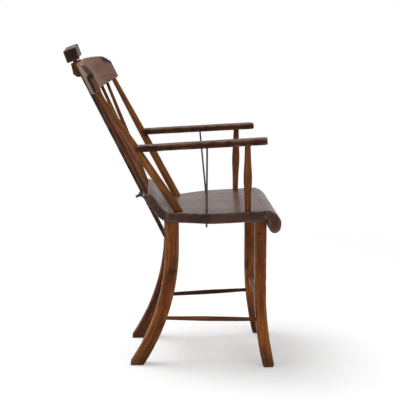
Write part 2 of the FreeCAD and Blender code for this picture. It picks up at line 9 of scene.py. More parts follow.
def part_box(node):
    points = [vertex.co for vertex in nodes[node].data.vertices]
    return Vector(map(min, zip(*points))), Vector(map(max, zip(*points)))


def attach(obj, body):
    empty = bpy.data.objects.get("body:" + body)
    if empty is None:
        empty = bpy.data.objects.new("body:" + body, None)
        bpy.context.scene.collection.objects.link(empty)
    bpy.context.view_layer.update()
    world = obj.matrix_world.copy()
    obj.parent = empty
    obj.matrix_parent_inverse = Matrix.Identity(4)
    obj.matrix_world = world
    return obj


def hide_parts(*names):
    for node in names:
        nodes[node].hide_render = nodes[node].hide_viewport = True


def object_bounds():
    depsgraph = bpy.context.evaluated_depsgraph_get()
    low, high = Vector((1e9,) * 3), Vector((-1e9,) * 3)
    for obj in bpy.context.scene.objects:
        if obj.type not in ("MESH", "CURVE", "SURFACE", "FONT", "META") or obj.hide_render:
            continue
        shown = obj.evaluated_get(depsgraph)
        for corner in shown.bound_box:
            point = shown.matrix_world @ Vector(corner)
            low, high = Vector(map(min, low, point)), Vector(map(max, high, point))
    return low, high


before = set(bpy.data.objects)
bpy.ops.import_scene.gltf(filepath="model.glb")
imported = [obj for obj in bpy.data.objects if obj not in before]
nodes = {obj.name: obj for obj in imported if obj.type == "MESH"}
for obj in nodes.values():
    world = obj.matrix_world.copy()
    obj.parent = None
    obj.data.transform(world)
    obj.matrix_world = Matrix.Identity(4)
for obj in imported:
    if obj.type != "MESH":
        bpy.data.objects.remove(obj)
cadLow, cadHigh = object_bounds()
mm = 0.001
boxMargin = 0.05 * mm
print("frame loaded:", len(nodes), "nodes")


# Reading shapes from the frame

def readValues(items, key, kind=float):
    # three values of each item, as rows
    values = np.empty(len(items) * 3, dtype=kind)
    items.foreach_get(key, values)
    return values.reshape(-1, 3)


def trianglesOf(nodeName):
    mesh = nodes[nodeName].data
    mesh.calc_loop_triangles()
    return readValues(mesh.vertices, "co")[readValues(mesh.loop_triangles, "vertices", int)]


def pointsOf(nodeName):
    return trianglesOf(nodeName).reshape(-1, 3)


def newObject(name, data):
    made = bpy.data.objects.new(name, data)
    bpy.context.collection.objects.link(made)
    return made


def segmentsAt(triangles, origin, normal):
    # where a plane cuts the triangles: one segment for each triangle it crosses
    side = (triangles - np.array(origin)) @ np.array(normal)
    crossed = (side.min(axis=1) < 0) & (side.max(axis=1) > 0)
    found = []
    for corner, height in zip(triangles[crossed], side[crossed]):
        ends = []
        for a, b in ((0, 1), (1, 2), (2, 0)):
            if height[a] * height[b] < 0:
                share = height[a] / (height[a] - height[b])
                ends.append(corner[a] + (corner[b] - corner[a]) * share)
        if len(ends) == 2:
            found.append(ends)
    return np.array(found)


def longLine(nodeName):
    # the middle line of a long straight piece, from the middles of its two ends
    points = pointsOf(nodeName)
    middle = points.mean(axis=0)
    axis = np.linalg.svd(points - middle, full_matrices=False)[2][0]
    if axis[2] < 0:
        axis = -axis
    along = (points - middle) @ axis
    low = points[along < along.min() + 0.0005]
    high = points[along > along.max() - 0.0005]
    lowEnd = (low.min(axis=0) + low.max(axis=0)) / 2
    highEnd = (high.min(axis=0) + high.max(axis=0)) / 2
    return Vector(lowEnd), Vector(highEnd)


def sectionSize(nodeName, origin, axes):
    # the middle and half size of a node's section, in the plane of the first two axes
    cut = segmentsAt(trianglesOf(nodeName), origin, axes[2]).reshape(-1, 3)
    local = (cut - np.array(origin)) @ np.array(axes).T
    low = local.min(axis=0)
    high = local.max(axis=0)
    return (low[:2] + high[:2]) / 2, (high[:2] - low[:2]) / 2


def outlineAt(nodeName, origin, normal):
    # the ordered outline where a plane cuts a node
    left = [list(map(tuple, pair)) for pair in segmentsAt(trianglesOf(nodeName), origin, normal)]
    loop = left.pop()
    while left:
        tail = np.array(loop[-1])
        gaps = [min(np.abs(tail - pair[0]).max(), np.abs(tail - pair[1]).max()) for pair in left]
        nearest = int(np.argmin(gaps))
        if gaps[nearest] > 1e-4:
            break
        pair = left.pop(nearest)
        swap = np.abs(tail - pair[1]).max() < np.abs(tail - pair[0]).max()
        loop.append(pair[0] if swap else pair[1])
    return np.array(loop)


def between(values, fade):
    # 0 at the fade's first place and 1 at its second, both in millimetres
    zero, one = fade
    return np.clip((values / mm - zero) / (one - zero), 0, 1)


# Outlines: each gives points about the middle and how near each is to an edge, which takes pale wear and
# painted highlight

def roundedBox(halfWide, halfHigh, corner, cornerSteps=4, sideSteps=6):
    points = []
    edge = []
    corner = min(corner, halfWide * 0.98, halfHigh * 0.98)
    arcs = []
    for signX, signY, start in ((1, 1, 0), (-1, 1, 90), (-1, -1, 180), (1, -1, 270)):
        middle = np.array([signX * (halfWide - corner), signY * (halfHigh - corner)])
        arc = []
        for step in range(cornerSteps + 1):
            angle = math.radians(start + 90 * step / cornerSteps)
            arc.append(middle + corner * np.array([math.cos(angle), math.sin(angle)]))
        arcs.append(arc)
    for index, arc in enumerate(arcs):
        points += arc
        edge += [1.0] * len(arc)
        following = arcs[(index + 1) % 4][0]
        for step in range(1, sideSteps):
            # closer together near the corners, to keep the flats flat
            share = 0.5 - 0.5 * math.cos(math.pi * step / sideSteps)
            points.append(arc[-1] * (1 - share) + following * share)
            away = min(share, 1 - share) * np.linalg.norm(following - arc[-1])
            edge.append(math.exp(-away / (2.5 * mm)))
    return np.array(points), np.array(edge)


def shavedRound(radius, flats, flatness, count=40, turn=0.0):
    # a round section with flats left by a spokeshave
    angles = np.linspace(0, 2 * math.pi, count, endpoint=False)
    inFlat = ((angles + turn) * flats / (2 * math.pi)) % 1.0 - 0.5
    apothem = math.cos(math.pi / flats)
    flatRadius = apothem / np.cos(inFlat * 2 * math.pi / flats)
    scale = 1 - flatness + flatness * flatRadius
    points = np.stack([np.cos(angles), np.sin(angles)], axis=1) * (radius * scale)[:, None]
    # ridges between the flats count as edges, and take the pale wear and painted highlight
    edge = np.clip((np.abs(inFlat) - 0.36) * 7, 0, 1) * flatness * 0.8
    return points, edge


# Lofting

seedCount = 0


def nextSeed():
    global seedCount
    seedCount += 1
    return Vector((seedCount * 3.17, seedCount * 5.31, seedCount * 1.93))


def loftPiece(name, stations, wobble=0.25, dents=0.5, endRound=1.2, endWear=1.0):
    # stations: (middle, acrossX, acrossY, outline points, edge values), in metres
    seed = nextSeed()
    middles = [Vector(station[0]) for station in stations]
    length = sum((b - a).length for a, b in zip(middles, middles[1:]))
    rings = []
    grain = []
    edge = []
    run = 0.0
    for index, (middle, acrossX, acrossY, outline, edges) in enumerate(stations):
        if index:
            run += (middles[index] - middles[index - 1]).length
        nearEnd = math.exp(-min(run, length - run) / (3 * mm)) * endWear
        acrossX = np.array(acrossX)
        acrossY = np.array(acrossY)
        ring = np.array(middle) + outline[:, :1] * acrossX + outline[:, 1:] * acrossY
        coordinates = np.column_stack([outline[:, 0], outline[:, 1], np.full(len(outline), run)])
        rings.append(ring)
        grain.append(coordinates + np.array(seed))
        edge.append(np.maximum(edges, nearEnd * 0.8))
    rings = roughen(rings, edge, seed, wobble * mm, dents * mm)
    rings, grain, edge = roundEnds(rings, grain, edge, endRound * mm)
    piece = meshFromRings(name, rings, grain, edge)
    piece["seed"] = list(seed)
    return piece


def boxStation(nodeName, origin, across, up, along, corner, inset=0.0, sideSteps=6):
    # a rounded section of the node's own size, square to its run
    middle, half = sectionSize(nodeName, origin, (across, up, along))
    outline, edges = roundedBox(*(half - inset), corner * mm, sideSteps=sideSteps)
    return origin + across * middle[0] + up * middle[1], across, up, outline, edges


def grainOf(piece):
    # outline and run of each point, as the loft laid them out
    return readValues(piece.data.attributes["grain"].data, "vector") - np.array(piece["seed"])


def roughen(rings, edge, seed, wobble, dents):
    # hand shaped: slow waves along the piece, and small dents on its edges
    made = []
    for ring, edges in zip(rings, edge):
        middle = ring.mean(axis=0)
        moved = []
        for point, wearAndHighlight in zip(ring, edges):
            place = Vector(point) + seed
            out = Vector(point - middle)
            wave = noise.noise(place * 14) * wobble
            ripple = noise.noise(place * 60) * wobble * 0.3
            knock = max(0.0, noise.noise(place * 45) - 0.18) * dents * 4 * wearAndHighlight
            moved.append(Vector(point) + out * ((wave + ripple - knock) / max(out.length, 1e-6)))
        made.append(np.array(moved))
    return made


def roundEnds(rings, grain, edge, radius):
    arcSteps = 4
    for side in range(2):
        # the lists turn round before each end, so that it is the last ring
        for values in (rings, grain, edge):
            values.reverse()
        last = rings[-1]
        middle = last.mean(axis=0)
        out = middle - rings[-2].mean(axis=0)
        out = out / np.linalg.norm(out)
        lastGrain = grain[-1]
        lastEdge = edge[-1]
        inward = middle - last
        reach = np.linalg.norm(inward, axis=1)[:, None]
        rings[-1] = last - out * radius
        for step in range(1, arcSteps + 1):
            angle = math.pi / 2 * step / arcSteps
            inset = radius * (1 - math.cos(angle))
            rise = radius * (math.sin(angle) - 1)
            rings.append(last + inward / reach * inset + out * rise)
            grain.append(lastGrain)
            edge.append(np.ones(len(lastEdge)))
        flat = rings[-1]
        for share in (0.25, 0.6, 0.9):
            rings.append(flat + (middle - flat) * share)
            grain.append(lastGrain + (lastGrain.mean(axis=0) - lastGrain) * share)
            edge.append(np.full(len(lastEdge), max(0.0, 0.6 - share)))
    return rings, grain, edge


def meshFromRings(name, rings, grain, edge):
    count = len(rings[0])
    vertices = np.concatenate(rings)
    faces = []
    for ring in range(len(rings) - 1):
        low = ring * count
        high = low + count
        for point in range(count):
            following = (point + 1) % count
            faces.append((low + point, low + following, high + following, high + point))
    grainValues = list(np.concatenate(grain))
    edgeValues = list(np.concatenate(edge))
    vertices = list(vertices)
    for ring, flip in ((0, True), (len(rings) - 1, False)):
        vertices.append(rings[ring].mean(axis=0))
        grainValues.append(grain[ring].mean(axis=0))
        edgeValues.append(0.0)
        for point in range(count):
            a = ring * count + point
            b = ring * count + (point + 1) % count
            faces.append((len(vertices) - 1, b, a) if flip else (len(vertices) - 1, a, b))
    mesh = bpy.data.meshes.new(name)
    mesh.from_pydata([tuple(vertex) for vertex in vertices], [], faces)
    mesh.validate()
    setAttribute(mesh, "grain", "FLOAT_VECTOR", np.array(grainValues).ravel())
    setAttribute(mesh, "edge", "FLOAT", np.array(edgeValues))
    turnFacesOut(mesh)
    mesh.shade_smooth()
    return newObject(name, mesh)


def setAttribute(mesh, name, kind, values):
    attribute = mesh.attributes.new(name, kind, "POINT")
    attribute.data.foreach_set("vector" if kind == "FLOAT_VECTOR" else "value", values)


def turnFacesOut(mesh):
    volume = 0.0
    for polygon in mesh.polygons:
        first = mesh.vertices[polygon.vertices[0]].co
        for index in range(1, len(polygon.vertices) - 1):
            second = mesh.vertices[polygon.vertices[index]].co
            third = mesh.vertices[polygon.vertices[index + 1]].co
            volume += first.dot(second.cross(third))
    if volume < 0:
        mesh.flip_normals()
    mesh.update()


def fit(piece, material, body, replaced, tone=0.0, stainAndShade=0.0):
    # sets a finished piece on its body, in place of the node it stands for;
    # tone and stainAndShade are a number, a number for each point, or a function of the points; stainAndShade
    # holds real stains and also painted shade
    mesh = piece.data
    points = readValues(mesh.vertices, "co")
    inside = np.clip(points, np.array(cadLow) + boxMargin, np.array(cadHigh) - boxMargin)
    mesh.vertices.foreach_set("co", inside.ravel())
    for name, value in (("tone", tone), ("stainAndShade", stainAndShade)):
        if name not in mesh.attributes:
            values = value(inside) if callable(value) else value
            setAttribute(mesh, name, "FLOAT", np.broadcast_to(values, len(inside)))
    mesh.materials.clear()
    mesh.materials.append(material)
    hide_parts(*replaced)
    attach(piece, body)


# Nodes: a tree is found from the sockets that are linked in it

def newGroup(kind, name, inputs, outputs, values):
    # inputs and outputs name their sockets' kinds; some inputs have a first value
    group = bpy.data.node_groups.new(name, kind)
    for way, sockets in (("INPUT", inputs), ("OUTPUT", outputs)):
        for socketName, socketKind in sockets.items():
            socket = group.interface.new_socket(socketName, in_out=way, socket_type="NodeSocket" + socketKind)
            if way == "INPUT" and socketName in values:
                socket.default_value = values[socketName]
    return group, group.nodes.new("NodeGroupInput").outputs, group.nodes.new("NodeGroupOutput")


def setSocket(socket, value):
    if isinstance(value, bpy.types.NodeSocket):
        socket.id_data.links.new(value, socket)
    else:
        socket.default_value = value


def setInputs(node, values):
    for socketName, value in values.items():
        setSocket(node.inputs[socketName], value)


def addNode(tree, kind, values=None, **settings):
    node = tree.nodes.new(kind)
    for key, value in settings.items():
        setattr(node, key, value)
    setInputs(node, values or {})
    return node


def treeOf(*values):
    return next(value.id_data for value in values if isinstance(value, bpy.types.NodeSocket))


def mathNode(operation, *values, clamp=False):
    inputs = dict(enumerate(values))
    return addNode(treeOf(*values), "ShaderNodeMath", inputs, operation=operation, use_clamp=clamp).outputs[0]


add = partial(mathNode, "ADD")
subtract = partial(mathNode, "SUBTRACT")
times = partial(mathNode, "MULTIPLY")
divide = partial(mathNode, "DIVIDE")


def vectorMath(operation, first, *others, **named):
    inputs = {0: first, **dict(enumerate(others, 1)), **named}
    node = addNode(treeOf(first), "ShaderNodeVectorMath", inputs, operation=operation)
    return node.outputs["Value" if operation == "LENGTH" else "Vector"]


def easeBetween(value, low, high, start, end):
    # goes from start to end while the value goes from low to high
    inputs = {"Value": value, "From Min": low, "From Max": high, "To Min": start, "To Max": end}
    return addNode(treeOf(value), "ShaderNodeMapRange", inputs, interpolation_type="SMOOTHSTEP").outputs[0]


def noiseAt(place, scale, detail, roughness=0.5, distortion=0.0):
    inputs = {"Vector": place, "Scale": scale, "Detail": detail, "Roughness": roughness}
    inputs["Distortion"] = distortion
    return addNode(place.id_data, "ShaderNodeTexNoise", inputs).outputs[0]


def mixColour(factor, first, second):
    node = addNode(factor.id_data, "ShaderNodeMix", {0: factor, 6: first, 7: second}, data_type="RGBA")
    return node.outputs[2]


def ramp(factor, first, last, interpolation="LINEAR"):
    # a mask between two stops, each a position and a value
    node = addNode(factor.id_data, "ShaderNodeValToRGB", {"Fac": factor})
    node.color_ramp.interpolation = interpolation
    for element, (position, value) in zip(node.color_ramp.elements, (first, last)):
        element.position = position
        element.color = grey(value)
    return node.outputs["Color"]


def grey(value):
    return (value, value, value, 1)


def objectPlace(tree):
    return addNode(tree, "ShaderNodeTexCoord").outputs["Object"]


def readAttribute(tree, name, output="Fac"):
    return addNode(tree, "ShaderNodeAttribute", attribute_name=name).outputs[output]


# Shader groups

def makeGrainGroup():
    # streaks along the grain in three tones, with dark pores and a few knots
    group, given, out = newGroup(
        "ShaderNodeTree", "agedGrain",
        {
            "Grain": "Vector", "Dark": "Color", "Middle": "Color", "Light": "Color", "Ring Scale": "Float",
            "Contrast": "Float", "Knots": "Float",
        },
        {"Color": "Color", "Pores": "Float", "Figure": "Float"},
        {},
    )
    drawnOut = {
        use: vectorMath("MULTIPLY", given["Grain"], (1, 1, share))
        for use, share in (("rings", 0.075), ("pores", 0.03), ("broad", 0.35), ("knots", 0.45))
    }
    rings = noiseAt(drawnOut["rings"], given["Ring Scale"], 6.0, 0.62, 1.1)
    bends = noiseAt(drawnOut["rings"], 22.0, 3.0)
    broad = noiseAt(drawnOut["broad"], 17.0, 2.0)
    figure = add(times(rings, 0.72), times(bends, 0.28))
    figure = add(times(figure, 0.78), times(broad, 0.22))
    spread = times(subtract(figure, 0.5), given["Contrast"])
    factor = add(times(spread, 4.0), 0.5, clamp=True)
    colour = mixColour(times(factor, 2.0, clamp=True), given["Dark"], given["Middle"])
    colour = mixColour(subtract(times(factor, 2.0), 1.0, clamp=True), colour, given["Light"])
    pores = ramp(noiseAt(drawnOut["pores"], 900.0, 3.0, 0.7), (0.36, 1), (0.5, 0))
    colour = mixColour(times(pores, 0.35), colour, given["Dark"])
    cells = addNode(group, "ShaderNodeTexVoronoi", {"Vector": drawnOut["knots"], "Scale": 21.0}).outputs
    knots = ramp(cells["Distance"], (0.06, 1), (0.2, 0), "EASE")
    colour = mixColour(times(knots, given["Knots"], clamp=True), colour, given["Dark"])
    setInputs(out, {"Color": colour, "Pores": pores, "Figure": figure})
    return group


def makeWearGroup():
    # pale edges in patches, partly wear and partly painted highlight, and grime in blotches or where a piece
    # is stained or given painted shade
    group, given, out = newGroup(
        "ShaderNodeTree", "handledWearAndHighlight",
        {
            "Color": "Color", "Worn And Highlight": "Color", "Edge": "Float", "Amount": "Float", "Grime And Shade": "Color",
            "Grime Amount": "Float", "Stain And Shade": "Float",
        },
        {"Color": "Color", "Mask": "Float", "Grime And Shade": "Float"},
        {"Grime And Shade": (0.02, 0.012, 0.008, 1)},
    )
    place = objectPlace(group)
    patches = ramp(noiseAt(place, 38.0, 5.0, 0.65), (0.42, 0), (0.62, 1))
    # painted highlight and wear: edges turn pale in patches
    mask = times(times(mathNode("POWER", given["Edge"], 1.6), patches), given["Amount"])
    blotches = ramp(noiseAt(place, 9.0, 4.0, 0.6), (0.4, 0), (0.72, 1))
    # grime blotches, real stains and painted shade all darken towards the same dark colour
    darkening = mathNode("MAXIMUM", times(blotches, given["Grime Amount"]), given["Stain And Shade"])
    colour = mixColour(mask, given["Color"], given["Worn And Highlight"])
    setInputs(out, {"Color": mixColour(darkening, colour, given["Grime And Shade"]), "Mask": mask, "Grime And Shade": darkening})
    return group


grainGroup = makeGrainGroup()
wearAndHighlightGroup = makeWearGroup()


# Materials

def newMaterial(name):
    material = bpy.data.materials.new(name)
    material.use_nodes = True
    return material, material.node_tree, material.node_tree.nodes["Principled BSDF"]


def makeWood(name, settings):
    material, tree, shader = newMaterial(name)
    grain = addNode(
        tree, "ShaderNodeGroup",
        {
            "Grain": readAttribute(tree, "grain", "Vector"), "Dark": (*settings["dark"], 1),
            "Middle": (*settings["middle"], 1), "Light": (*settings["light"], 1),
            "Ring Scale": settings["ringScale"], "Contrast": settings["contrast"], "Knots": settings["knots"],
        },
        node_tree=grainGroup,
    ).outputs
    tone = add(readAttribute(tree, "tone"), 1.0)
    toned = addNode(tree, "ShaderNodeHueSaturation", {"Color": grain["Color"], "Value": tone})
    wearAndHighlight = addNode(
        tree, "ShaderNodeGroup",
        {
            "Color": toned.outputs["Color"], "Edge": readAttribute(tree, "edge"),
            "Stain And Shade": readAttribute(tree, "stainAndShade"), "Worn And Highlight": (*settings["wornAndHighlight"], 1),
            "Amount": settings["wearAndHighlightAmount"], "Grime Amount": settings["darkening"],
        },
        node_tree=wearAndHighlightGroup,
    ).outputs
    smoothest = settings["roughness"] - settings["roughSpread"] * 0.5
    rough = add(times(grain["Figure"], settings["roughSpread"]), smoothest)
    rough = add(rough, times(wearAndHighlight["Mask"], 0.15))
    rough = add(rough, times(wearAndHighlight["Grime And Shade"], 0.3), clamp=True)
    height = subtract(times(grain["Figure"], 0.5), times(grain["Pores"], 0.35))
    relief = {"Height": height, "Strength": settings["bump"], "Distance": 0.6 * mm}
    bump = addNode(tree, "ShaderNodeBump", relief)
    setInputs(shader, {
        "Base Color": wearAndHighlight["Color"], "Roughness": rough, "Specular IOR Level": settings["specular"],
        "Coat Weight": settings["coat"], "Coat Roughness": settings["coatRoughness"],
        "Normal": bump.outputs["Normal"],
    })
    return material


def makeIron(name, settings):
    # dark metal with patches of rust, and fine pits
    material, tree, shader = newMaterial(name)
    place = objectPlace(tree)
    rust = ramp(noiseAt(place, 160.0, 6.0, 0.65), (0.45, 0), (0.68, 1))
    pits = noiseAt(place, 700.0, 4.0)
    bump = addNode(tree, "ShaderNodeBump", {"Height": pits, "Strength": 0.35, "Distance": 0.4 * mm})
    setInputs(shader, {
        "Base Color": mixColour(rust, (*settings["metal"], 1), (*settings["rust"], 1)),
        "Metallic": subtract(settings["metallic"], times(rust, 0.5), clamp=True),
        "Roughness": add(times(rust, 0.3), settings["roughness"]),
        "Normal": bump.outputs["Normal"],
    })
    return material


# what most of the woods share
woodDefaults = {
    "contrast": 0.85, "knots": 0.1, "roughness": 0.4, "roughSpread": 0.2, "coat": 0.0, "coatRoughness": 0.3,
}
# each wood's wornAndHighlight colour is the pale colour of its worn edges and of the painted highlight on
# them
woodSettings = {
    "legWood": {
        "dark": (0.03, 0.007, 0.003), "middle": (0.21, 0.054, 0.009), "light": (0.5, 0.165, 0.027),
        "wornAndHighlight": (0.4, 0.2, 0.085), "wearAndHighlightAmount": 0.55, "darkening": 0.35, "ringScale": 115.0, "knots": 0.8,
        "specular": 0.13, "bump": 0.35,
    },
    "backWood": {
        "dark": (0.035, 0.009, 0.003), "middle": (0.19, 0.053, 0.01), "light": (0.46, 0.165, 0.034),
        "wornAndHighlight": (0.42, 0.23, 0.1), "wearAndHighlightAmount": 0.5, "darkening": 0.35, "ringScale": 130.0, "knots": 0.35,
        "roughness": 0.42, "specular": 0.14, "bump": 0.3,
    },
    "armWood": {
        "dark": (0.014, 0.003, 0.002), "middle": (0.062, 0.014, 0.005), "light": (0.17, 0.044, 0.015),
        "wornAndHighlight": (0.24, 0.12, 0.065), "wearAndHighlightAmount": 0.8, "darkening": 0.3, "ringScale": 120.0,
        "roughSpread": 0.15, "specular": 0.1, "bump": 0.25,
    },
    "seatWood": {
        "dark": (0.012, 0.004, 0.003), "middle": (0.07, 0.023, 0.012), "light": (0.2, 0.08, 0.04),
        "wornAndHighlight": (0.27, 0.16, 0.1), "wearAndHighlightAmount": 0.85, "darkening": 0.3, "ringScale": 60.0, "contrast": 0.8,
        "knots": 0.15, "roughSpread": 0.12, "specular": 0.16, "coat": 0.16, "coatRoughness": 0.14,
        "bump": 0.2,
    },
    "crestWood": {
        "dark": (0.04, 0.014, 0.008), "middle": (0.19, 0.082, 0.047), "light": (0.32, 0.145, 0.075),
        "wornAndHighlight": (0.4, 0.26, 0.17), "wearAndHighlightAmount": 0.5, "darkening": 0.25, "ringScale": 60.0, "contrast": 0.7,
        "roughness": 0.5, "specular": 0.14, "bump": 0.25,
    },
    "headWood": {
        "dark": (0.012, 0.004, 0.002), "middle": (0.06, 0.019, 0.008), "light": (0.17, 0.066, 0.03),
        "wornAndHighlight": (0.3, 0.21, 0.16), "wearAndHighlightAmount": 0.8, "darkening": 0.3, "ringScale": 110.0, "contrast": 0.8,
        "roughness": 0.45, "specular": 0.12, "bump": 0.3,
    },
}
ironSettings = {
    "darkIron": {
        "metal": (0.05, 0.05, 0.055), "rust": (0.09, 0.045, 0.025), "metallic": 0.8, "roughness": 0.4,
    },
    "greenIron": {
        "metal": (0.09, 0.1, 0.09), "rust": (0.06, 0.05, 0.035), "metallic": 0.7, "roughness": 0.42,
    },
}
woods = {name: makeWood(name, {**woodDefaults, **settings}) for name, settings in woodSettings.items()}
irons = {name: makeIron(name, settings) for name, settings in ironSettings.items()}
print("materials made:", len(woods) + len(irons))


# Legs

legSettings = {
    "chamfer": 3.4, "ringStep": 7.0, "wobble": 0.35, "dents": 0.7, "endRound": 2.0, "endGap": 0.2,
    "frontTop": 0.4099, "rearTop": 0.3985, "footStain": 0.6, "footFade": (220, 0), "markFade": (1.6, 0.6),
    "tones": {
        "leg_front_right": 0.11, "leg_front_left": 0.1, "leg_rear_right": 0.0, "leg_rear_left": -0.2,
    },
    # knots and stains: middle and half sizes in metres, strength
    "marks": {
        "leg_rear_right": [((-0.154, 0.0, 0.263), (0.01, 0.009, 0.005), 0.9)],
        "leg_front_right": [
            ((-0.188, -0.235, 0.373), (0.012, 0.007, 0.005), 0.9),
            ((-0.188, -0.246, 0.3), (0.01, 0.004, 0.02), 0.45),
        ],
        "leg_front_left": [
            ((0.155, -0.24, 0.386), (0.02, 0.03, 0.022), 0.85),
            ((0.155, -0.23, 0.31), (0.02, 0.006, 0.006), 0.7),
        ],
    },
}


def makeLeg(nodeName):
    triangles = trianglesOf(nodeName)
    top = legSettings["frontTop"] if "front" in nodeName else legSettings["rearTop"]
    endGap = legSettings["endGap"] * mm
    count = int(top / (legSettings["ringStep"] * mm))
    stations = []
    for index in range(count + 1):
        height = endGap + (top - 2 * endGap) * index / count
        cut = segmentsAt(triangles, (0, 0, height), (0, 0, 1)).reshape(-1, 3)
        near = cut.min(axis=0)
        far = cut.max(axis=0)
        middle = (near + far) / 2
        half = (far - near) / 2
        outline, edges = roundedBox(half[0], half[1], legSettings["chamfer"] * mm, cornerSteps=3)
        stations.append(((middle[0], middle[1], height), (1, 0, 0), (0, 1, 0), outline, edges))
    piece = loftPiece(
        nodeName + "_shaped", stations, legSettings["wobble"], legSettings["dents"], legSettings["endRound"]
    )

    def legStain(points):
        # dark towards the foot, and at each mark
        stainAndShade = between(points[:, 2], legSettings["footFade"]) ** 1.5 * legSettings["footStain"]
        for middle, half, strength in legSettings["marks"].get(nodeName, []):
            away = np.linalg.norm((points - np.array(middle)) / np.array(half), axis=1)
            stainAndShade = np.maximum(stainAndShade, between(away * mm, legSettings["markFade"]) * strength)
        return stainAndShade

    tone = legSettings["tones"][nodeName]
    fit(piece, woods["legWood"], "chair", [nodeName], tone, legStain)


for nodeName in legSettings["tones"]:
    makeLeg(nodeName)
print("legs made")


# Turned and shaved pieces: radii are millimetres at shares of the length

sideRadii = [(0, 5.0), (0.5, 6.8), (1, 5.0)]
rodRadii = [(0, 7.0), (1, 7.0)]
postRadii = [(0, 11.5), (0.24, 11.6), (0.53, 10.8), (0.78, 8.7), (1, 6.8)]
supportRadii = [(0, 8.0), (0.27, 9.4), (0.5, 11.5), (0.75, 9.2), (1, 7.5)]
# radii, number of flats, how flat they are, tone
roundSettings = {
    "stretcher_right": (sideRadii, 8, 0.6, -0.3),
    "stretcher_left": (sideRadii, 8, 0.6, -0.62),
    "stretcher_front": (rodRadii, 12, 0.3, 0.1),
    "stretcher_rear": (rodRadii, 12, 0.3, 0.0),
    "back_post_right": (postRadii, 7, 0.75, -0.2),
    "back_post_left": (postRadii, 7, 0.75, 0.05),
    "arm_spindle_right": (supportRadii, 10, 0.4, 0.0),
    "arm_spindle_left": (supportRadii, 10, 0.4, 0.0),
}


def smoothRadius(radii, share):
    # a smooth curve through the radii
    shares = np.array([pair[0] for pair in radii])
    values = np.array([pair[1] for pair in radii])
    if len(radii) == 2:
        return float(np.interp(share, shares, values))
    slopes = np.gradient(values, shares)
    index = min(int(np.searchsorted(shares, share, side="right")) - 1, len(radii) - 2)
    span = shares[index + 1] - shares[index]
    t = (share - shares[index]) / span
    return float(
        values[index] * (2 * t**3 - 3 * t**2 + 1)
        + slopes[index] * span * (t**3 - 2 * t**2 + t)
        + values[index + 1] * (3 * t**2 - 2 * t**3)
        + slopes[index + 1] * span * (t**3 - t**2)
    )


def makeRound(nodeName, radii, flats, flatness, tone):
    start, end = longLine(nodeName)
    axis = (end - start).normalized()
    across = axis.cross(Vector((0, 1, 0)) if abs(axis.y) < 0.8 else Vector((0, 0, 1))).normalized()
    other = axis.cross(across)
    length = (end - start).length
    count = max(20, int(length / (6 * mm)))
    stations = []
    turn = seedCount * 0.7
    for index in range(count + 1):
        share = index / count
        outline, edges = shavedRound(smoothRadius(radii, share) * mm, flats, flatness, turn=turn)
        stations.append((start + axis * length * share, across, other, outline, edges))
    piece = loftPiece(nodeName + "_shaved", stations, 0.3, 0.4, endRound=1.0)
    fit(piece, woods["backWood"], "chair", [nodeName], tone)


for nodeName, settings in roundSettings.items():
    makeRound(nodeName, *settings)
print("round pieces made:", len(roundSettings))


# Geometry Nodes: trees that make what repeats

def newTree(name, settings):
    # each setting is a named input, and the whole numbers are seeds
    inputs = {"Geometry": "Geometry", "Material": "Material"}
    inputs.update((key, "Int" if isinstance(value, int) else "Float") for key, value in settings.items())
    return newGroup("GeometryNodeTree", name, inputs, {"Geometry": "Geometry"}, settings)


def capture(geometry, values):
    # keeps fields on the geometry they are read from; gives the geometry, then each value
    node = addNode(geometry.id_data, "GeometryNodeCaptureAttribute", {0: geometry})
    for index, (kind, value) in enumerate(values, 1):
        node.capture_items.new(kind, "kept" + str(index))
        setInputs(node, {index: value})
    return node.outputs[: len(values) + 1]


def shape(tree, kind, values=None, **settings):
    # the geometry that a node makes or changes
    return addNode(tree, "GeometryNode" + kind, values, **settings).outputs[0]


def combine(x, y, z):
    return addNode(treeOf(x, y, z), "ShaderNodeCombineXYZ", {0: x, 1: y, 2: z}).outputs[0]


def raised(geometry, height):
    inputs = {"Geometry": geometry, "Translation": combine(0.0, 0.0, height)}
    return addNode(geometry.id_data, "GeometryNodeTransform", inputs).outputs[0]


def randomNumber(tree, low, high, seed, number=None):
    node = addNode(tree, "FunctionNodeRandomValue", data_type="FLOAT")
    wanted = {"Min": low, "Max": high, "Seed": seed, "ID": number}
    for socket in node.inputs:
        if socket.enabled and wanted.get(socket.name) is not None:
            setSocket(socket, wanted[socket.name])
    return next(socket for socket in node.outputs if socket.enabled)


def store(geometry, name, kind, value):
    inputs = {"Geometry": geometry, "Name": name}
    node = addNode(
        geometry.id_data, "GeometryNodeStoreNamedAttribute", inputs, data_type=kind, domain="POINT"
    )
    setSocket(next(socket for socket in node.inputs if socket.name == "Value" and socket.enabled), value)
    return node.outputs["Geometry"]


def finishTree(geometry, material, out):
    tree = geometry.id_data
    realized = shape(tree, "RealizeInstances", {"Geometry": geometry})
    painted = addNode(tree, "GeometryNodeSetMaterial", {"Geometry": realized, "Material": material})
    setInputs(out, {0: painted.outputs[0]})


def runTree(name, mesh, tree, values):
    # runs a tree over a mesh of points or lines, and keeps the result as a plain mesh
    carrier = newObject(name + "_base", mesh)
    modifier = carrier.modifiers.new(name, "NODES")
    modifier.node_group = tree
    for item in tree.interface.items_tree:
        if item.in_out == "INPUT" and item.name in values:
            modifier[item.identifier] = values[item.name]
    carrier.update_tag()
    made = bpy.data.meshes.new_from_object(carrier.evaluated_get(bpy.context.evaluated_depsgraph_get()))
    carrier.modifiers.clear()
    bpy.data.objects.remove(carrier)
    made.name = name
    return newObject(name, made)


# Back spindles: one tree shaves all of them along their middle lines

spindleCount = 6
spindleSettings = {
    "Foot Radius": 5.5 * mm, "Middle Radius": 6.2 * mm, "Top Radius": 4.6 * mm, "Middle Place": 0.45,
    "Ring Step": 6.0 * mm, "Flats": 8.0, "Flatness": 0.7, "Waviness": 0.7 * mm, "Darkest Tone": -0.45,
    "Dark Top": 0.75, "Dark From": 0.82, "Dark To": 0.97, "Seed": 11,
}


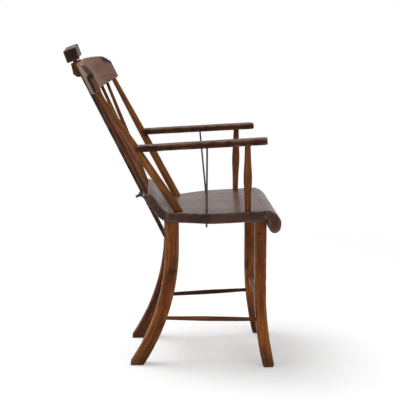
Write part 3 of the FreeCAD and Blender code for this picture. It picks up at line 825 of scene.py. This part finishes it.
def makeSpindleTree():
    tree, given, out = newTree("shavedSpindles", spindleSettings)
    lines = shape(tree, "MeshToCurve", {"Mesh": given["Geometry"]})
    steps = {"Curve": lines, "Length": given["Ring Step"]}
    lines = shape(tree, "ResampleCurve", steps, mode="LENGTH")
    along = addNode(tree, "GeometryNodeSplineParameter").outputs
    place = shape(tree, "InputPosition")
    index = shape(tree, "InputIndex")
    spline = shape(tree, "FieldOnDomain", {0: index}, data_type="INT", domain="CURVE")
    rail, centre, share, run, number = capture(
        lines, [("VECTOR", place), ("FLOAT", along["Factor"]), ("FLOAT", along["Length"]), ("INT", spline)]
    )
    ring = shape(tree, "CurvePrimitiveCircle", {"Resolution": 40, "Radius": 1.0})
    ring, onRing = capture(ring, [("VECTOR", place)])
    sweep = {"Curve": rail, "Profile Curve": ring, "Fill Caps": True}
    tubes = shape(tree, "CurveToMesh", sweep)
    # radius along the spindle: it swells to the middle and thins to the top
    swell = easeBetween(share, 0.0, given["Middle Place"], given["Foot Radius"], given["Middle Radius"])
    drop = subtract(given["Top Radius"], given["Middle Radius"])
    radius = add(swell, easeBetween(share, given["Middle Place"], 1.0, 0.0, drop))
    # flats left by the spokeshave, turned a little more on each spindle
    profile = addNode(tree, "ShaderNodeSeparateXYZ", {0: onRing}).outputs
    turned = add(mathNode("ARCTAN2", profile[1], profile[0]), times(number, 0.9))
    fullTurn = 2 * math.pi
    inFlat = subtract(mathNode("FRACT", divide(times(turned, given["Flats"]), fullTurn)), 0.5)
    apothem = mathNode("COSINE", divide(math.pi, given["Flats"]))
    flat = divide(apothem, mathNode("COSINE", divide(times(inFlat, fullTurn), given["Flats"])))
    flattened = add(1.0, times(subtract(flat, 1.0), given["Flatness"]))
    # waves and grain that differ from one spindle to the next
    apart = add(times(given["Seed"], 1.7), times(number, 3.1))
    offset = combine(apart, times(apart, 1.37), 0.0)
    wave = subtract(noiseAt(vectorMath("ADD", place, offset), 16.0, 2.0), 0.5)
    reach = add(times(radius, flattened), times(wave, given["Waviness"]))
    outward = vectorMath("NORMALIZE", vectorMath("SUBTRACT", place, centre))
    moved = vectorMath("ADD", centre, vectorMath("SCALE", outward, Scale=reach))
    shaved = shape(tree, "SetPosition", {"Geometry": tubes, "Position": moved})
    grain = combine(times(profile[0], radius), times(profile[1], radius), run)
    shaved = store(shaved, "grain", "FLOAT_VECTOR", vectorMath("ADD", grain, offset))
    # ridges between the flats count as edges, and take the pale wear and painted highlight
    corner = times(subtract(mathNode("ABSOLUTE", inFlat), 0.36), 7.0, clamp=True)
    shaved = store(shaved, "edge", "FLOAT", times(corner, 0.55))
    tone = randomNumber(tree, given["Darkest Tone"], 0.0, given["Seed"], number)
    shaved = store(shaved, "tone", "FLOAT", tone)
    dark = easeBetween(share, given["Dark From"], given["Dark To"], 0.0, given["Dark Top"])
    shaved = store(shaved, "stainAndShade", "FLOAT", dark)
    finishTree(shaved, given["Material"], out)
    return tree


def makeSpindles():
    names = ["back_spindle_" + str(number + 1) for number in range(spindleCount)]
    points = [tuple(point) for nodeName in names for point in longLine(nodeName)]
    lines = bpy.data.meshes.new("spindleLines")
    lines.from_pydata(points, [(2 * index, 2 * index + 1) for index in range(spindleCount)], [])
    values = dict(spindleSettings, Material=woods["backWood"])
    piece = runTree("back_spindles", lines, makeSpindleTree(), values)
    turnFacesOut(piece.data)
    piece.data.shade_smooth()
    fit(piece, woods["backWood"], "chair", names)
    print("back spindles made:", len(names))


makeSpindles()


# Screws: one tree sets a slotted, domed head on each point

screwSettings = {
    "keeper_screws": {"Head Radius": 4.5 * mm, "Head Height": 2.2 * mm, "Slot Width": 1.0 * mm, "Seed": 3},
    "clamp_screws": {"Head Radius": 4.0 * mm, "Head Height": 2.2 * mm, "Slot Width": 0.9 * mm, "Seed": 8},
}
headSunk = 2.4 * mm
shankShort = 0.4 * mm


def makeScrewTree():
    settings = dict(screwSettings["keeper_screws"])
    settings["Shank Length"] = 10 * mm
    tree, given, out = newTree("slottedScrews", settings)
    radius = given["Head Radius"]
    height = given["Head Height"]
    shankLength = given["Shank Length"]
    ball = shape(tree, "MeshUVSphere", {"Segments": 32, "Rings": 24, "Radius": 1.0})
    dome = {"Geometry": ball, "Scale": combine(radius, radius, height)}
    ball = shape(tree, "Transform", dome)
    wide = times(radius, 3.0)
    below = shape(tree, "MeshCube", {"Size": combine(wide, wide, wide)})
    slotSize = combine(wide, given["Slot Width"], times(height, 1.1))
    slot = shape(tree, "MeshCube", {"Size": slotSize})
    cut = addNode(tree, "GeometryNodeMeshBoolean", {0: ball}, operation="DIFFERENCE")
    setInputs(cut, {1: raised(below, times(wide, -0.5))})
    setInputs(cut, {1: raised(slot, height)})
    rod = {"Vertices": 16, "Radius": times(radius, 0.45), "Depth": shankLength}
    shank = shape(tree, "MeshCylinder", rod)
    joined = addNode(tree, "GeometryNodeJoinGeometry", {0: cut.outputs[0]})
    setInputs(joined, {0: raised(shank, times(shankLength, -0.49))})
    outward = addNode(tree, "GeometryNodeInputNamedAttribute", {"Name": "outward"}, data_type="FLOAT_VECTOR")
    aligned = addNode(tree, "FunctionNodeAlignRotationToVector", {"Vector": outward.outputs[0]}, axis="Z")
    spin = combine(0.0, 0.0, randomNumber(tree, 0.0, math.pi, given["Seed"]))
    spun = addNode(
        tree, "FunctionNodeRotateRotation", {"Rotation": aligned.outputs[0], "Rotate By": spin},
        rotation_space="LOCAL",
    )
    heads = addNode(
        tree, "GeometryNodeInstanceOnPoints",
        {"Points": given["Geometry"], "Instance": joined.outputs[0], "Rotation": spun.outputs[0]},
    )
    finishTree(heads.outputs[0], given["Material"], out)
    return tree


def screwPlaces(nodeName, rear):
    # the top of each head and the screw's length: one screw on each side of the chair
    points = pointsOf(nodeName)
    places = []
    for side in (points[points[:, 0] < 0], points[points[:, 0] > 0]):
        outward = side @ np.array(rear)
        cap = side[outward > outward.max() - 0.2 * mm]
        middle = (cap.min(axis=0) + cap.max(axis=0)) / 2
        places.append((Vector(middle), outward.max() - outward.min()))
    return places


def makeScrews():
    barLow, barHigh = longLine("headrest_bar")
    rear = Vector((1, 0, 0)).cross((barHigh - barLow).normalized()) * -1
    tree = makeScrewTree()
    for nodeName, settings in screwSettings.items():
        places = screwPlaces(nodeName, rear)
        points = bpy.data.meshes.new(nodeName + "_points")
        points.from_pydata([tuple(place - rear * headSunk) for place, length in places], [], [])
        setAttribute(points, "outward", "FLOAT_VECTOR", np.array([tuple(rear)] * len(places)).ravel())
        values = dict(settings, Material=irons["darkIron"])
        values["Shank Length"] = places[0][1] - headSunk - shankShort
        piece = runTree(nodeName + "_slotted", points, tree, values)
        piece.data.set_sharp_from_angle(angle=math.radians(40))
        fit(piece, irons["darkIron"], "chair", [nodeName])
    print("screws made")


makeScrews()


# Arms

armSettings = {
    "edgeRound": 3.2, "ringStep": 6.0, "frontReach": 50, "rearReach": 100, "tenonHalf": 12, "noseReach": 14,
}


def makeArm(nodeName, tone):
    points = pointsOf(nodeName)
    front = points[points[:, 1] < points[:, 1].min() + armSettings["frontReach"] * mm]
    rear = points[points[:, 1] > points[:, 1].max() - armSettings["rearReach"] * mm]
    start = Vector((front.min(axis=0) + front.max(axis=0)) / 2)
    end = Vector((rear.min(axis=0) + rear.max(axis=0)) / 2)
    along = (end - start).normalized()
    across = Vector((0, 0, 1)).cross(along).normalized()
    up = along.cross(across)
    local = (points - np.array(start)) @ np.array([across, up, along]).T
    low = local[:, 2].min()
    # the arm ends where only its tenon goes on
    high = local[np.abs(local[:, 0]) > armSettings["tenonHalf"] * mm][:, 2].max()
    count = int((high - low) / (armSettings["ringStep"] * mm))
    # closer together over the rounded nose
    marks = [low + (0.4 + 1.1 * step**1.6) * mm for step in range(5)]
    marks += list(np.linspace(low + armSettings["noseReach"] * mm, high - 0.5 * mm, count))
    edgeRound = armSettings["edgeRound"]
    stations = [boxStation(nodeName, start + along * mark, across, up, along, edgeRound) for mark in marks]
    piece = loftPiece(nodeName + "_shaped", stations, 0.3, 0.6, endRound=0.6)
    fit(piece, woods["armWood"], "chair", [nodeName], tone)


makeArm("arm_right", -0.27)
makeArm("arm_left", -0.36)
print("arms made")


# Crest rail

crestSettings = {
    "edgeRound": 3.0, "ringStep": 7.0, "endRound": 2.2, "endReach": 33.0, "paintedShadeOnEnds": 0.92, "paintedHighlightOnBack": 0.8,
    "endSteps": (0.06, 0.35, 0.9, 1.6, 2.4, 3.6, 5.2, 7.4, 10.2, 13.6, 17.6, 22.0, 27.0),
    # where the shades begin and are full, in millimetres
    "topFade": (12, 16), "shoulderFade": (85, 65), "endFade": (4, 2), "frontFade": (5, 3.5),
    "backFade": (5.5, 6.5),
}


def makeCrest():
    nodeName = "crest_rail"
    points = pointsOf(nodeName)
    barLow, barHigh = longLine("headrest_bar")
    up = (barHigh - barLow).normalized()
    nearEnd = points[points[:, 0] < points[:, 0].min() + 4 * mm].mean(axis=0)
    farEnd = points[points[:, 0] > points[:, 0].max() - 4 * mm].mean(axis=0)
    along = Vector(farEnd - nearEnd)
    along = (along - up * along.dot(up)).normalized()
    rear = up.cross(along)
    middlePoint = Vector((nearEnd + farEnd) / 2)
    reach = (points - np.array(middlePoint)) @ np.array(along)
    low = reach.min()
    high = reach.max()
    steps = np.array(crestSettings["endSteps"]) * mm
    endReach = crestSettings["endReach"] * mm
    middleMarks = np.arange(low + endReach, high - endReach, crestSettings["ringStep"] * mm)
    marks = np.concatenate([low + steps, middleMarks, (high - steps)[::-1]])
    ease = crestSettings["endRound"] * mm
    stations = []
    for mark in marks:
        away = min(mark - low, high - mark, ease)
        inset = ease - math.sqrt(ease**2 - (ease - away) ** 2)
        origin = middlePoint + along * mark
        stations.append(
            boxStation(nodeName, origin, rear, up, along, crestSettings["edgeRound"], inset, sideSteps=8)
        )
    piece = loftPiece("crest_rail_bent", stations, 0.4, 0.7, endRound=0.02, endWear=0.1)

    # painted shade on the front of the ends and shoulders, with a painted highlight along their back
    depth, height, run = grainOf(piece).T
    away = np.minimum(run, run.max() - run)
    onTop = between(height, crestSettings["topFade"]) * between(away, crestSettings["shoulderFade"])
    shoulder = np.maximum(onTop, between(away, crestSettings["endFade"]))
    # painted highlight: a paler strip along the back of the ends and shoulders
    tone = shoulder * between(depth, crestSettings["backFade"]) * crestSettings["paintedHighlightOnBack"]
    # painted shade: the front of the ends and shoulders is darkened
    stainAndShade = shoulder * between(depth, crestSettings["frontFade"]) * crestSettings["paintedShadeOnEnds"]
    fit(piece, woods["crestWood"], "chair", [nodeName], tone, stainAndShade)


makeCrest()
print("crest rail made")


# Seat: the plank by its sections from front to back, the roll and the scroll as mouldings

seatSettings = {
    "edgeRound": 2.2, "ringStep": 6.0, "mouldingStep": 9.0, "slope": 0.0474, "jointSlant": 7.1,
    "darkFrom": -0.105, "frontTone": 0.35, "rearTone": -0.4, "edgeDepth": 3.0,
}


def makePlank():
    nodeName = "seat_plank"
    low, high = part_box(nodeName)
    axes = [(1, 0, 0), (0, 0, 1), (0, 1, 0)]
    jointLow = low[1] + (seatSettings["jointSlant"] + 0.4) * mm
    count = int((high[1] - jointLow) / (seatSettings["ringStep"] * mm))
    stations = []
    for mark in np.linspace(jointLow, high[1] - 0.3 * mm, count):
        middle, half = sectionSize(nodeName, (0, mark, 0), axes)
        outline, edges = roundedBox(half[0], half[1], seatSettings["edgeRound"] * mm, sideSteps=24)
        stations.append(((middle[0], mark, middle[1]), (1, 0, 0), (0, 0, 1), outline, edges))
    piece = loftPiece("seat_plank_planed", stations, 0.5, 0.6, endRound=1.0, endWear=0.3)

    def sideTone(points):
        # the side is darker behind and browner in front; the top stays even
        surface = high[2] - seatSettings["slope"] * (points[:, 1] - low[1] - seatSettings["jointSlant"] * mm)
        onSide = points[:, 2] < surface - seatSettings["edgeDepth"] * mm
        inFront = points[:, 1] < seatSettings["darkFrom"]
        side = np.where(inFront, seatSettings["frontTone"], seatSettings["rearTone"])
        return np.where(onSide, side, 0.0)

    fit(piece, woods["seatWood"], "chair", [nodeName], sideTone)


def resample(loop, count):
    closed = np.vstack([loop, loop[:1]])
    steps = np.linalg.norm(np.diff(closed, axis=0), axis=1)
    along = np.concatenate([[0], np.cumsum(steps)])
    marks = np.linspace(0, along[-1], count, endpoint=False)
    return np.stack([np.interp(marks, along, closed[:, axis]) for axis in range(closed.shape[1])], axis=1)


def makeMoulding(nodeName, newName, tone):
    low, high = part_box(nodeName)
    loop = outlineAt(nodeName, (low[0] + 3 * mm, 0, 0), (1, 0, 0))[:, 1:]
    loop = resample(loop, 120)
    centre = loop.mean(axis=0)
    before = np.roll(loop, 1, axis=0)
    after = np.roll(loop, -1, axis=0)
    first = (loop - before) / np.linalg.norm(loop - before, axis=1)[:, None]
    second = (after - loop) / np.linalg.norm(after - loop, axis=1)[:, None]
    turning = np.degrees(np.arccos(np.clip((first * second).sum(axis=1), -1, 1)))
    # sharp turns of the outline count as edges, and take the pale wear and painted highlight
    edges = np.clip((turning - 12) / 30, 0, 1)
    edges = np.maximum(edges, np.maximum(np.roll(edges, 1), np.roll(edges, -1)) * 0.6)
    count = int((high[0] - low[0]) / (seatSettings["mouldingStep"] * mm))
    stations = []
    for mark in np.linspace(low[0], high[0], count):
        stations.append(((mark, centre[0], centre[1]), (0, 1, 0), (0, 0, 1), loop - centre, edges))
    piece = loftPiece(newName, stations, 0.5, 0.6, endRound=2.0)
    fit(piece, woods["seatWood"], "chair", [nodeName], tone)


makePlank()
makeMoulding("seat_front_roll", "seat_front_roll_shaped", 0.0)
makeMoulding("seat_rear_scroll", "seat_rear_scroll_shaped", -0.33)
print("seat made")


# Headrest

headSettings = {
    "barStep": 8.0, "barRound": 1.8, "blockRound": 3.2, "blockRings": 30, "endGap": 3.1, "endReach": 3.0,
    "endFade": (6, 3), "endStain": 0.7,
}


def makeBar():
    nodeName = "headrest_bar"
    start, end = longLine(nodeName)
    along = (end - start).normalized()
    across = Vector((1, 0, 0))
    rear = across.cross(along) * -1
    length = (end - start).length
    count = int(length / (headSettings["barStep"] * mm))
    stations = []
    for index in range(count + 1):
        # a hair short of both ends, so that the plane still cuts the bar
        origin = start + along * length * (0.0005 + 0.999 * index / count)
        stations.append(boxStation(nodeName, origin, across, rear, along, headSettings["barRound"]))
    piece = loftPiece("headrest_bar_planed", stations, 0.2, 0.4, endRound=1.5)
    fit(piece, woods["headWood"], "headrest", [nodeName])


def makeBlock():
    nodeName = "headrest_block"
    points = pointsOf(nodeName)
    low = points[points[:, 0] < points[:, 0].min() + 12 * mm].mean(axis=0)
    high = points[points[:, 0] > points[:, 0].max() - 12 * mm].mean(axis=0)
    along = Vector(high - low).normalized()
    middle = Vector(low + high) / 2
    # the lean at which the section is smallest is the block's own
    best = None
    for tenth in range(0, 450, 5):
        lean = math.radians(tenth / 10)
        up = Vector((0, math.sin(lean), math.cos(lean)))
        up = (up - along * up.dot(along)).normalized()
        rear = along.cross(up) * -1
        half = sectionSize(nodeName, middle + along * 50 * mm, (rear, up, along))[1]
        if best is None or half[0] * half[1] < best[0]:
            best = (half[0] * half[1], rear, up)
    rear, up = best[1:]
    reach = (points - np.array(middle)) @ np.array(along)
    gap = headSettings["endGap"] * mm
    stations = []
    for mark in np.linspace(reach.min() + gap, reach.max() - gap, headSettings["blockRings"]):
        origin = middle + along * mark
        stations.append(boxStation(nodeName, origin, rear, up, along, headSettings["blockRound"]))
    endReach = along * headSettings["endReach"] * mm
    first = (stations[0][0] - endReach, *stations[0][1:])
    final = (stations[-1][0] + endReach, *stations[-1][1:])
    piece = loftPiece("headrest_block_shaped", [first, *stations, final], 0.3, 0.7, endRound=3.0)
    run = grainOf(piece)[:, 2]
    dark = between(np.minimum(run, run.max() - run), headSettings["endFade"]) * headSettings["endStain"]
    fit(piece, woods["headWood"], "headrest", [nodeName], stainAndShade=dark)


makeBar()
makeBlock()
print("headrest made")


# Hardware keeps its frame shape, with its own finish

def makeKeeperWood():
    # the keeper has no grain of its own, so its grain runs along the world's x
    material = woods["backWood"].copy()
    material.name = "keeperWood"
    tree = material.node_tree
    turned = {"Vector": objectPlace(tree), "Rotation": (0, math.pi / 2, 0)}
    mapping = addNode(tree, "ShaderNodeMapping", turned)
    for node in tree.nodes:
        if node.type == "GROUP" and "Grain" in node.inputs:
            setInputs(node, {"Grain": mapping.outputs["Vector"]})
    return material


def setMaterial(nodeName, material):
    mesh = nodes[nodeName].data
    mesh.materials.clear()
    mesh.materials.append(material)


setMaterial("bar_keeper", makeKeeperWood())
for nodeName in ("arm_rod_right", "arm_rod_left", "rod_washers", "rod_nuts", "clamp_strap"):
    setMaterial(nodeName, irons["darkIron"])
setMaterial("thumb_screw", irons["greenIron"])
print("hardware finished")


# Floor, light and camera

stageSettings = {
    "floorColour": 0.84, "floorGlow": 0.3, "worldLight": 0.42, "fadeStart": 0.75, "fadeEnd": 2.2,
    "keySize": 2.4, "keyPower": 68, "keyPlace": (0.4, 0.9, 3.1),
    "fillSize": 2.6, "fillPower": 16, "fillPlace": (-3.0, -1.6, 1.9), "lampTarget": (0, 0, 0.4),
}


def backdropRays(tree):
    # the rays that should meet a plain white background
    rays = addNode(tree, "ShaderNodeLightPath").outputs
    seen = mathNode("MAXIMUM", rays["Is Camera Ray"], rays["Is Glossy Ray"])
    return mathNode("MAXIMUM", seen, rays["Is Transmission Ray"])


def makeFloor():
    mesh = bpy.data.meshes.new("floor")
    reach = 30
    corners = [(-reach, -reach, 0), (reach, -reach, 0), (reach, reach, 0), (-reach, reach, 0)]
    mesh.from_pydata(corners, [], [(0, 1, 2, 3)])
    material, tree, shader = newMaterial("paleFloor")
    seen = backdropRays(tree)
    setInputs(shader, {
        "Base Color": grey(stageSettings["floorColour"]), "Roughness": 0.9, "Specular IOR Level": 0.0,
        "Emission Strength": times(seen, stageSettings["floorGlow"]), "Emission Color": grey(1),
    })
    # plain white far from the chair
    away = vectorMath("LENGTH", objectPlace(tree))
    fade = easeBetween(away, stageSettings["fadeStart"], stageSettings["fadeEnd"], 0.0, 1.0)
    white = addNode(tree, "ShaderNodeEmission", {"Color": grey(1), "Strength": 1.0})
    mix = addNode(
        tree, "ShaderNodeMixShader", {0: times(fade, seen), 1: shader.outputs[0], 2: white.outputs[0]}
    )
    setInputs(tree.nodes["Material Output"], {"Surface": mix.outputs[0]})
    mesh.materials.append(material)
    newObject("floor", mesh)


def makeWorld():
    world = bpy.data.worlds.new("studio")
    bpy.context.scene.world = world
    world.use_nodes = True
    extra = times(backdropRays(world.node_tree), 1.0 - stageSettings["worldLight"])
    strength = add(extra, stageSettings["worldLight"])
    setInputs(world.node_tree.nodes["Background"], {"Strength": strength, "Color": grey(1)})


def makeLamp(name, place, size, power):
    light = bpy.data.lights.new(name, "AREA")
    light.shape = "DISK"
    light.size = size
    light.energy = power
    lamp = newObject(name, light)
    lamp.location = place
    aim = Vector(stageSettings["lampTarget"]) - Vector(place)
    lamp.rotation_euler = aim.to_track_quat("-Z", "Y").to_euler()


cameraSettings = {
    "place": (-3.1361, 0.03911, 0.93185), "lens": 100.8,
    "yaw": 0.0390939, "pitch": 0.1565905, "roll": -0.00188,
}


def makeCamera():
    camera = bpy.data.cameras.new("camera")
    camera.sensor_width = 36
    camera.lens = cameraSettings["lens"]
    camera.clip_end = 100
    eye = newObject("camera", camera)
    ahead = Matrix.Rotation(-cameraSettings["yaw"], 3, "Z") @ Vector((1, 0, 0))
    right = ahead.cross(Vector((0, 0, 1))).normalized()
    ahead = Matrix.Rotation(-cameraSettings["pitch"], 3, right) @ ahead
    up = right.cross(ahead).normalized()
    tip = Matrix.Rotation(-cameraSettings["roll"], 3, ahead)
    right = tip @ right
    up = tip @ up
    turn = Matrix((right, up, -ahead)).transposed()
    eye.matrix_world = Matrix.Translation(cameraSettings["place"]) @ turn.to_4x4()
    bpy.context.scene.camera = eye


makeFloor()
makeWorld()
makeLamp("keyLamp", stageSettings["keyPlace"], stageSettings["keySize"], stageSettings["keyPower"])
makeLamp("fillLamp", stageSettings["fillPlace"], stageSettings["fillSize"], stageSettings["fillPower"])
makeCamera()
bpy.context.scene.view_settings.view_transform = "Standard"
print("stage set")
